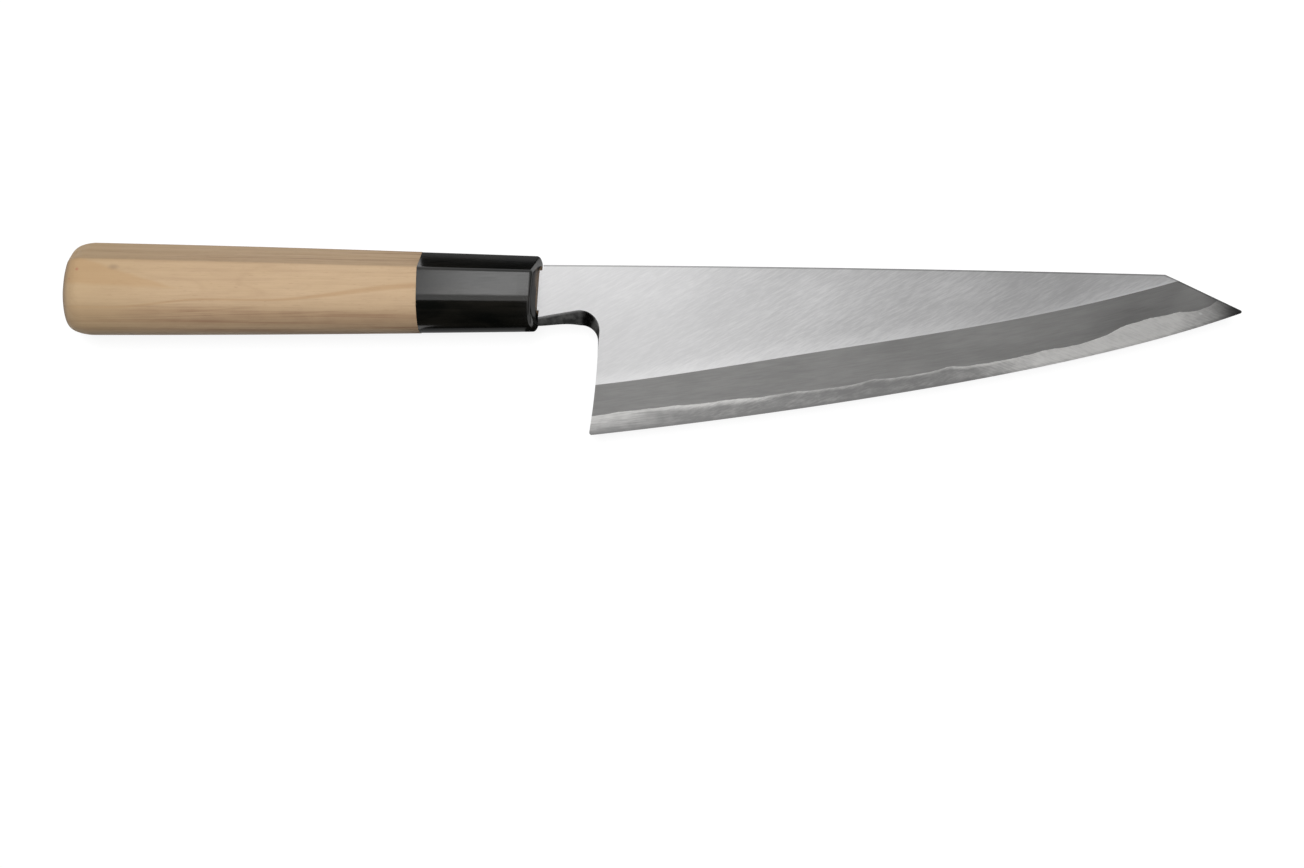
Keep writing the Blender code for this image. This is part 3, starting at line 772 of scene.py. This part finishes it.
def planed(point, through, towards, side, softness, share=1.0):
    """The point pushed back to the plane through two points, where it stands outside it."""
    dy, dz = towards[0] - through[0], towards[1] - through[1]
    length = calc("SQRT", dy * dy + dz * dz)
    ny, nz = dz * side / length, dy * -side / length
    proud = (point[0] - through[0]) * ny + (point[1] - through[1]) * nz
    taken = calc("SMOOTH_MAX", proud, 0.0, softness) * share
    return point[0] - ny * taken, point[1] - nz * taken


def rounded(depth, share, flatness, fullness):
    """Scale of the section near a rounded end: 1 past the rounding, less towards the end."""
    kept = (1.0 - (1.0 - depth) ** flatness) ** (1.0 / fullness)
    return 1.0 - share * (1.0 - kept)


# %% The tree
WORN_AT, WORN_OVER = 0.57, 0.25    # in half heights of the section
WELD_WITHIN = 0.000002


def handle_tree(rings, around):
    tree = bpy.data.node_groups.new("handle_rule", "GeometryNodeTree")
    tree.interface.new_socket("Geometry", in_out="OUTPUT", socket_type="NodeSocketGeometry")
    for name in HANDLE_INPUTS:
        tree.interface.new_socket(name, in_out="INPUT", socket_type="NodeSocketFloat")
    tree.interface.new_socket("Finish", in_out="INPUT", socket_type="NodeSocketMaterial")
    given = {socket.name: Value(tree, socket) for socket in tree.nodes.new("NodeGroupInput").outputs}
    shape = result(tree, "GeometryNodeMeshGrid", Vertices_X=rings, Vertices_Y=around + 1)
    column, row, _ = result(tree, "GeometryNodeInputPosition").apart()

    # The first and last rings are drawn to a point, which closes the ends
    ring = (column + 0.5) * (rings - 1)
    inner = calc("GREATER_THAN", ring, 0.5) * calc("LESS_THAN", ring, rings - 1.5)
    along = calc("MINIMUM", calc("MAXIMUM", (ring - 1.0) / (rings - 3), 0.0), 1.0)
    run = (given["End"] - given["Start"]) * along ** given["Crowding"]
    x = given["Start"] + run
    gone = abs(run)

    # Size of the oval at this place along the handle
    share = -x / given["Handle length"]
    swell = given["Belly"] * 4.0 * (share * (1.0 - share))
    inset = given["Inset at joint"] * 2.0 * (x / JOINT_X)

    def tapered(what):
        front = given["Front " + what]
        return front + (given["Butt " + what] - front) * share

    half_high, half_wide = ((tapered(what) + swell - inset) * 0.5 for what in ("height", "width"))
    ridge, power = tapered("ridge"), given["Squareness"]

    # A point of the oval, planed on both sides of the ridge
    angle = (row + 0.5) * (2 * math.pi)
    y = oval_point(calc("SINE", angle), half_high, power)
    z = oval_point(calc("COSINE", angle), half_wide, power)
    crest = (ridge, oval_reach(ridge, half_high, half_wide, power))
    side = (-given["Side flat end"], oval_reach(given["Side flat end"], half_high, half_wide, power))
    upper = (oval_reach(given["Upper flat end"], half_wide, half_high, power), -given["Upper flat end"])
    y, z = planed((y, z), crest, side, 1.0, given["Softness"])
    kept = calc("MINIMUM", given["Ridge left at end"] + gone / given["Ridge fade"], 1.0)
    y, z = planed((y, z), crest, upper, -1.0, given["Softness"], kept)

    # The worked end: rounded, leaning, bulging or crowned, and worn towards its top
    depth = calc("MINIMUM", gone / given["Round length"], 1.0)
    y = y * rounded(depth, given["Round high"], given["High flatness"], given["High fullness"]) * inner
    z = z * rounded(depth, given["Round wide"], given["Wide flatness"], given["Wide fullness"]) * inner
    fade = calc("MAXIMUM", 1.0 - gone / given["Lean length"], 0.0)
    up = y / half_high
    off_top = (up - WORN_AT) / WORN_OVER
    x = x + y * given["Lean"] * fade
    x = x - abs(z / half_wide) * given["Bulge"] * fade
    x = x + up * up * given["Crown"] * fade
    x = x + calc("EXPONENT", -(off_top * off_top)) * given["Worn top"] * fade
    place = result(tree, "ShaderNodeCombineXYZ", x, y, z + MIDDLE_Z)
    shape = result(tree, "GeometryNodeSetPosition", shape, Position=place)
    shape = result(tree, "GeometryNodeMergeByDistance", shape, Distance=WELD_WITHIN)
    shape = result(tree, "GeometryNodeRealizeInstances", shape)
    shape = result(tree, "GeometryNodeSetMaterial", shape, Material=given["Finish"])
    fill(tree, tree.nodes.new("NodeGroupOutput"), shape)
    return tree


HANDLE_RULE = handle_tree(rings=170, around=144)
print("nodes in the handle's rule:", len(HANDLE_RULE.nodes))


# %% Use the tree
def by_handle_rule(name, finish, **changes):
    obj = new_object(name, bpy.data.meshes.new(name))
    step = obj.modifiers.new("rule", "NODES")
    step.node_group = HANDLE_RULE
    sizes = dict(HANDLE_INPUTS)
    sizes.update({key.replace("_", " "): value for key, value in changes.items()})
    for socket in HANDLE_RULE.interface.items_tree:
        if socket.in_out == "INPUT":
            step[socket.identifier] = finish if socket.name == "Finish" else sizes[socket.name]
    freeze(obj)
    bm = bmesh.new()
    bm.from_mesh(obj.data)
    bmesh.ops.recalc_face_normals(bm, faces=bm.faces)
    bm.to_mesh(obj.data)
    open_edges = sum(not edge.is_manifold for edge in bm.edges)
    bm.free()
    print(f"{name}: {len(obj.data.vertices)} points, {open_edges} open edges")
    return obj


# %% [markdown]
# ## Wood
#
# Magnolia is pale, straight-grained and left bare. Its grain is fine lines along the handle, slightly
# darker bands where a summer ended, short pores, and here and there a warmer flame or a small knot.
# Each is a noise stretched along X. Stretching is what makes plain noise read as grain.

# %% Growth rings, fibres and pores
PITH_Y, PITH_Z = -0.0037, -0.0333    # the pith lies 45 mm under the planed side


def growth_rings(finish, sway):
    x, y, z = finish.knife_axes()
    reach = sway * 0.0016 + calc("SQRT", (y - PITH_Y) ** 2.0 + (z - PITH_Z) ** 2.0)
    bands = finish.noise(finish.joined(reach * 900, x * 5, 0.0), Roughness=0.6)
    ring_edge = abs(bands - 0.56).between(0.0, 0.035, 1.0, 0.0)
    lined = y.between(-0.0040, -0.0085, 0.16, 1.0) + y.between(0.0060, 0.0090, 0.0, 0.8)
    late = bands.between(0.36, 0.68) * lined
    colour = finish.mix(late, (0.553, 0.397, 0.251), (0.405, 0.262, 0.150))
    colour = finish.mix(ring_edge * lined * 0.58, colour, (0.28, 0.17, 0.095))
    # Painted shade: the wood is darkened in a band along its lower rounded side
    below = y.between(-0.0045, -0.0088, 0.0, 0.48) + y.between(-0.0092, -0.0113, 0.0, -0.50)
    colour = finish.mix(below, colour, (0.30, 0.19, 0.12))

    # The two sides that cut the rings steeply show them as thin lines
    steep = finish.noise(finish.joined(x * 9, y * 1500, 0.4), Detail=2, Roughness=0.6)
    thin = steep.between(0.50, 0.64) * calc("MINIMUM", lined, 1.0)
    return finish.mix(thin * 0.60, colour, (0.30, 0.170, 0.100))


def fibres_and_pores(finish, colour):
    fibres = finish.grain(0.6, (70, 2300, 1700), Roughness=0.7)
    pores = finish.grain(0.6, (420, 4200, 3200), Detail=1)
    mottle = finish.grain(0, (160, 420, 420))
    colour = finish.mix(fibres.between(0.30, 0.75, 0.0, 0.22), colour, (0.36, 0.24, 0.14))
    colour = finish.mix(pores.between(0.62, 0.76, 0.0, 0.30), colour, (0.30, 0.18, 0.10))
    colour = finish.mix(mottle.between(0.35, 0.65, 0.0, 0.14), colour, (0.62, 0.45, 0.27))
    finish.set(Roughness=fibres.between(0.3, 0.7, 0.5, 0.62))
    finish.bump(fibres - pores * 0.5, 0.00003, 0.3)
    return colour


# %% The vein, the flame, the knot and some specks
FLAME_TIP = Vector((-0.0990, -0.0006, 0)) + HOME
KNOT_AND_SPECKS = (
    ((-0.1152, 0.0049, 0.0115), (0.0022, 0.0012, 0.01), 0.50, (0.27, 0.19, 0.125)),
    ((-0.1127, -0.0126, 0.0023), (0.0011, 0.0010, 0.004), 0.7, (0.16, 0.10, 0.07)),
    ((-0.1250, 0.0042, 0.0115), (0.0007, 0.0006, 0.01), 0.7, (0.42, 0.14, 0.10)),
    ((-0.1272, 0.0016, 0.0115), (0.0006, 0.0004, 0.01), 0.45, (0.45, 0.17, 0.11)),
)


def figure(finish, colour, sway):
    x, y, _ = finish.knife_axes()
    climb = x.between(-0.117, -0.090, -0.0060, -0.0036) + x.between(-0.075, -0.030, 0.0, 0.0045)
    off_vein = sway * 0.0008 + y - (climb + 0.0004)
    width = x.between(-0.08, -0.035, 0.00045, 0.0012)
    vein = (abs(off_vein) / width).between(0.2, 1.0, 1.0, 0.0) * x.between(-0.080, -0.045, 0.36, 0.40)
    colour = finish.mix(vein, colour, (0.39, 0.225, 0.105))
    colour = finish.mix(x.between(-0.090, -0.128, 0.0, 0.55), colour, (0.485, 0.345, 0.195))

    # The flame narrows forward between two slanting lines with ragged borders
    ragged = finish.grain(0, (120, 700, 300), Detail=2) * 0.0009 - 0.00045
    upper, lower = (
        finish.object_at(turn, centre=FLAME_TIP).apart()[1] + ragged for turn in (-17.5, -2.1)
    )
    flame = upper.between(0.0006, -0.0006) * lower.between(-0.0008, 0.0006)
    colour = finish.mix(flame * 0.38, colour, (0.45, 0.27, 0.125))
    for centre, size, share, tone in KNOT_AND_SPECKS:
        colour = finish.mix(finish.spot(centre, size) * share, colour, tone)
    return colour


# %% The magnolia finish and the shaft
def magnolia():
    finish = Finish("magnolia", Specular_IOR_Level=0.22)
    sway = finish.grain(0, (14, 60, 60), Detail=2)
    colour = fibres_and_pores(finish, growth_rings(finish, sway))
    colour = figure(finish, colour, sway)

    # The butt's end grain is darker, partly its own tone and partly painted shade where it turns from the
    # light
    end = finish.attribute("end_grain_and_shade").between(0.55, 0.97, 0.0, 0.78)
    finish.set(Base_Color=finish.mix(end, colour, (0.17, 0.115, 0.075)))
    return finish.material


shaft = by_handle_rule("magnolia_shaft", magnolia())
store(shaft, "end_grain_and_shade", [max(0.0, -v.normal.x) for v in shaft.data.vertices])
settle(shaft, "handle_shaft", sharp=40)

# %% [markdown]
# ## Horn
#
# Buffalo horn is black with a deep gloss. It is grown in thin layers, so under the polish lie faint
# brown and grey streaks, and its end grain, at the front, is duller than its sides. The gloss is low
# roughness and the streaks are a slight change of colour, since a painted highlight would not move.

# %% The horn finish
def horn():
    finish = Finish("horn", Specular_IOR_Level=0.55)
    streaks = finish.grain(0, (14, 420, 300), Detail=4, Roughness=0.6)
    cloud = finish.grain(0, (60, 160, 160), Detail=4, Distortion=0.6)
    scuffs = finish.grain(3, (160, 2600, 2200), Roughness=0.7)
    tone = (cloud * 0.5 + streaks * 0.5).between(0.42, 0.70)
    colour = finish.mix(tone, (0.0030, 0.0033, 0.0028), (0.0110, 0.0100, 0.0080))
    smear = finish.spot((-0.0013, 0.0036, 0.0068), (0.0012, 0.0040, 0.0022))
    front = finish.knife_axes()[0].between(-0.0019, -0.0004)
    finish.set(Base_Color=finish.mix(smear * 0.8, colour, (0.30, 0.21, 0.14)))
    finish.set(Roughness=front * 0.22 + scuffs.between(0.3, 0.75, 0.10, 0.17))
    finish.bump(scuffs * 0.5 + cloud, 0.00002, 0.25)
    return finish.material


HORN = horn()

# %% [markdown]
# ## Mouth and resin
#
# The ferrule's front is sawn and leans forward at the spine. Its rim is rounded off, by two millimetres
# at the spine and at the edge and by half a millimetre at the flats, and its middle stands two
# millimetres proud of its flanks. A slot with round ends lets the tang in, and resin closes the rest.

# %% Shape the ferrule and carve its mouth
FRONT_X, MOUTH_REAR, ROUND_STEPS = -0.0002, -0.0050, 24
FIT_GAP, HAIRLINE = 0.0003, 0.00002
RESIN_HIGH, RESIN_WIDE, SEAL_DEPTH, SEAL_INSET = 0.0008, 0.0014, 0.0014, 0.0014
MOUTH_HIGH = TANG_HEIGHT + 2 * (FIT_GAP + RESIN_HIGH)
MOUTH_WIDE = TANG_THICKNESS + 2 * (FIT_GAP + RESIN_WIDE)
HORN_FRONT = dict(
    Start=FRONT_X, End=JOINT_X + HAIRLINE, Crowding=2.0, Inset_at_joint=0.0001, Softness=0.00045,
    Ridge_left_at_end=1.0, Round_length=0.0015,
    Round_high=0.0023 / 0.0106, High_flatness=2.0, High_fullness=2.0,
    Round_wide=0.0006 / 0.0089, Wide_flatness=5.0, Wide_fullness=2.0,
    Lean=FRONT_LEAN, Lean_length=0.006, Bulge=0.0022, Crown=0.0, Worn_top=0.0,
)


def obround(name, height, width, rear, front, finish):
    """A plate with round ends, standing across the handle."""
    straight = (height - width) / 2
    section = []
    for middle, first in ((straight, 0.0), (-straight, math.pi)):
        for k in range(ROUND_STEPS + 1):
            angle = first + math.pi * k / ROUND_STEPS
            y = TANG_Y + middle + width / 2 * math.sin(angle)
            section.append((y, MIDDLE_Z + width / 2 * math.cos(angle)))
    return loft(name, [[(x, y, z) for y, z in section] for x in (rear, front)], [finish])


ferrule = by_handle_rule("horn_cap", HORN, **HORN_FRONT)
wider = 2 * FIT_GAP
carve(ferrule, obround("mouth", MOUTH_HIGH + wider, MOUTH_WIDE + wider, MOUTH_REAR, SPARE, HORN))
settle(ferrule, "horn_ferrule", sharp=35)

# %% The resin round the tang
SLOT_CLEARANCE, SLOT_PROUD, SLOT_REAR, EASE = 0.00005, 0.0004, -0.010, 0.00012


def resin():
    finish = Finish("resin", Roughness=0.42)
    grains = finish.noise(finish.object_at(), Scale=1400, Detail=4)
    finish.set(Base_Color=finish.mix(grains.between(0.3, 0.7), (0.14, 0.095, 0.060), (0.34, 0.24, 0.16)))
    finish.bump(grains, 0.00008, 0.6)
    return finish.material


RESIN = resin()
wider = 2 * FIT_GAP - 2 * HAIRLINE
seal_rear = -SEAL_INSET - SEAL_DEPTH
seal = obround("resin_seal", MOUTH_HIGH + wider, MOUTH_WIDE + wider, seal_rear, SPARE, RESIN)
carve(seal, by_handle_rule("resin_front", RESIN, **HORN_FRONT), "INTERSECT")
carve(seal, tang_bar("slot", SLOT_CLEARANCE, SLOT_REAR, SPARE, proud=SLOT_PROUD))
ease = seal.modifiers.new("ease", "BEVEL")
ease.width, ease.segments, ease.limit_method = EASE, 3, "ANGLE"
freeze(seal)
settle(seal, "tang_seal", sharp=50)

# %% [markdown]
# ## Stage
#
# The photograph is taken from straight above, about forty centimetres up, on a white ground. Metal
# shows what it faces, so a knife is lit by placing bright and dark things above it. A scrim that fades
# towards the tip gives the blade its tones, and its bright patch is what the horn's planed side mirrors.
# Black and grey cards darken the neck's scoop and the rounds of the horn. Scrim and cards are there for
# reflections only and leave the light on wood alone, which comes from one soft lamp.

# %% Camera
FOCAL, WIDE = 1491, 1304    # in pixels of the photograph
PIXELS_PER_METRE = 3611    # at the height of the blade's middle
ABOVE_X, ABOVE_Y, CAMERA_TURN = 0.03103, -0.03860, 0.665

camera = new_object("camera", bpy.data.cameras.new("camera"))
camera.data.sensor_width = 36
camera.data.lens = 36 * FOCAL / WIDE
camera.data.clip_start, camera.data.clip_end = 0.01, 20
above = Vector((ABOVE_X, ABOVE_Y, MIDDLE_Z + FOCAL / PIXELS_PER_METRE))
turned = Matrix.Rotation(math.radians(CAMERA_TURN), 4, "Z")
camera.matrix_world = Matrix.Translation(above + HOME) @ turned
bpy.context.scene.camera = camera
print("camera", round((above + HOME).z, 3), "m up")


# %% Floor and surroundings
def white_when_seen(tree, plain, white, target):
    """White to the camera and to reflections, and the plain shader to all other light."""
    path = tree.nodes.new("ShaderNodeLightPath").outputs
    seen = Value(tree, path["Is Camera Ray"])
    for other in ("Is Glossy Ray", "Is Transmission Ray"):
        seen = calc("MAXIMUM", seen, Value(tree, path[other]))
    plain = Value(tree, tree.nodes[plain].outputs[0])
    put(tree, tree.nodes[target].inputs[0], result(tree, "ShaderNodeMixShader", seen, plain, white))


def flat_panel(name, paint, corners):
    mesh = bpy.data.meshes.new(name)
    mesh.from_pydata(corners, [], [tuple(range(len(corners)))])
    mesh.materials.append(paint)
    made = new_object(name, mesh)
    return made


def level(x0, x1, y0, y1, z=0.0002):
    return [(x0, y0, z), (x1, y0, z), (x1, y1, z), (x0, y1, z)]


world = bpy.data.worlds.new("studio")
world.use_nodes = True
bpy.context.scene.world = world
sky = world.node_tree
fill(sky, sky.nodes["Background"], grey(1), 0.09)
white_when_seen(sky, "Background", result(sky, "ShaderNodeBackground", grey(1)), "World Output")

ground = Finish("ground", Roughness=0.9, Base_Color=grey(0.24), Specular_IOR_Level=0.0)
glow = result(ground.tree, "ShaderNodeEmission", grey(1), 0.88)
soft = result(ground.tree, "ShaderNodeBsdfDiffuse", grey(0.17))
bright = result(ground.tree, "ShaderNodeAddShader", glow, soft)
white_when_seen(ground.tree, "Principled BSDF", bright, "Material Output")
flat_panel("floor", ground.material, level(-8, 8, -8, 8, -0.0001))

# %% Lamp
light = bpy.data.lights.new("key", "AREA")
light.shape, light.size, light.size_y, light.energy = "RECTANGLE", 0.45, 0.45, 8.3
key = new_object("key", light)
key.location = (-0.06, 0.16, 0.90)
key.rotation_euler = (-key.location).to_track_quat("-Z", "Y").to_euler()
key.visible_glossy = False


# %% Scrim and cards, which only reflections see
def scrim_glow():
    finish = Finish("scrim_glow", Roughness=1.0, Base_Color=grey(0), Specular_IOR_Level=0.0)
    x, y, _ = finish.object_at().apart()
    side = x.between(0.02, 0.315, 1.015, 0.44) + x.between(0.38, 0.46, 0.0, 0.09)
    ends = x.between(0.46, 0.59, 1.0, 0.30)
    near = y.between(-0.12, -0.36, 1.0, 0.69) * y.between(-0.05, 0.25, 1.08, 0.85)
    across = x.between(-0.195, -0.115) * x.between(0.0, -0.06)
    along = y.between(0.16, 0.22) * y.between(0.50, 0.40)
    patch = across * along * 3.3
    finish.set(Emission_Color=grey(1), Emission_Strength=side * near * ends + patch)
    return finish.material


def card_paint(name, shade, strength):
    return Finish(name, Base_Color=grey(shade), Specular_IOR_Level=0.0,
                  Emission_Color=grey(1), Emission_Strength=strength).material


BLACK, GREY = card_paint("black_card", 0.01, 0.0), card_paint("grey_card", 0.0, 0.22)
LEANING = [(-0.120, -0.062, 0.0002), (-0.033, -0.062, 0.0002),
           (-0.033, -0.009, 0.110), (-0.120, -0.009, 0.110)]
for name, paint, corners in (
    ("scrim", scrim_glow(), level(-1.3, 1.3, -1.3, 1.3, 0.81)),
    ("far_strip", BLACK, level(-0.068, -0.028, 0.037, 0.090)),
    ("far_edge", GREY, level(-0.068, -0.028, 0.0245, 0.037)),
    ("near_strip", BLACK, level(-0.068, -0.037, -0.075, -0.020)),
    ("front_strip", BLACK, level(-0.037, -0.018, -0.075, 0.0060)),
    ("near_edge", GREY, level(-0.068, -0.037, -0.020, 0.0020)),
    ("leaning_card", BLACK, LEANING),
):
    panel = flat_panel(name, paint, corners)
    panel.visible_camera = panel.visible_diffuse = False
    panel.visible_shadow = panel.visible_transmission = False

bpy.context.scene.view_settings.view_transform = "Standard"
